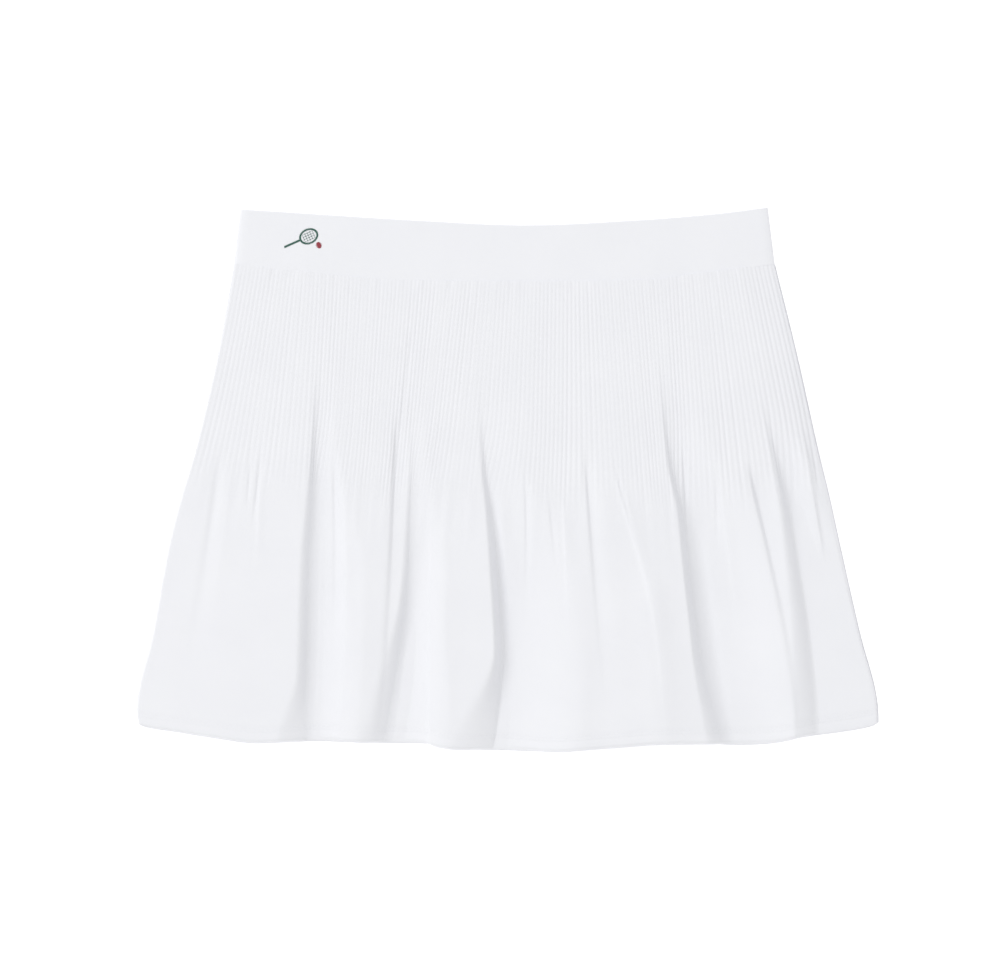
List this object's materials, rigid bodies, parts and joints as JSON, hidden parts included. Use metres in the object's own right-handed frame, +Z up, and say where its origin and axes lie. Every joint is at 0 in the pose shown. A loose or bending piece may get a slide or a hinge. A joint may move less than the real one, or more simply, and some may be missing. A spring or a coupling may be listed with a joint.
{
  "type": "tennis skirt",
  "caption": "Short white knitted tennis skirt laid flat, with a plain elastic waistband, a finely ribbed yoke and a soft flared hem.",
  "frame": {"origin": "middle of the laid skirt's outline, on the surface it lies on", "axes": "+X to the right across the front, +Y from hem to waist, +Z up out of the surface, through the back and then the front"},
  "size_m": [0.4976, 0.3655, 0.0194],
  "materials": {
    "skirt_knit": "matte fine white knit, ribbed at the top and plain below",
    "waistband_knit": "smooth dense white knit over a wide elastic"
  },
  "bodies": {
    "root": {"skirt_front": "skirt_knit", "skirt_back": "skirt_knit", "waistband_front": "waistband_knit", "waistband_back": "waistband_knit"}
  },
  "joints": []
}
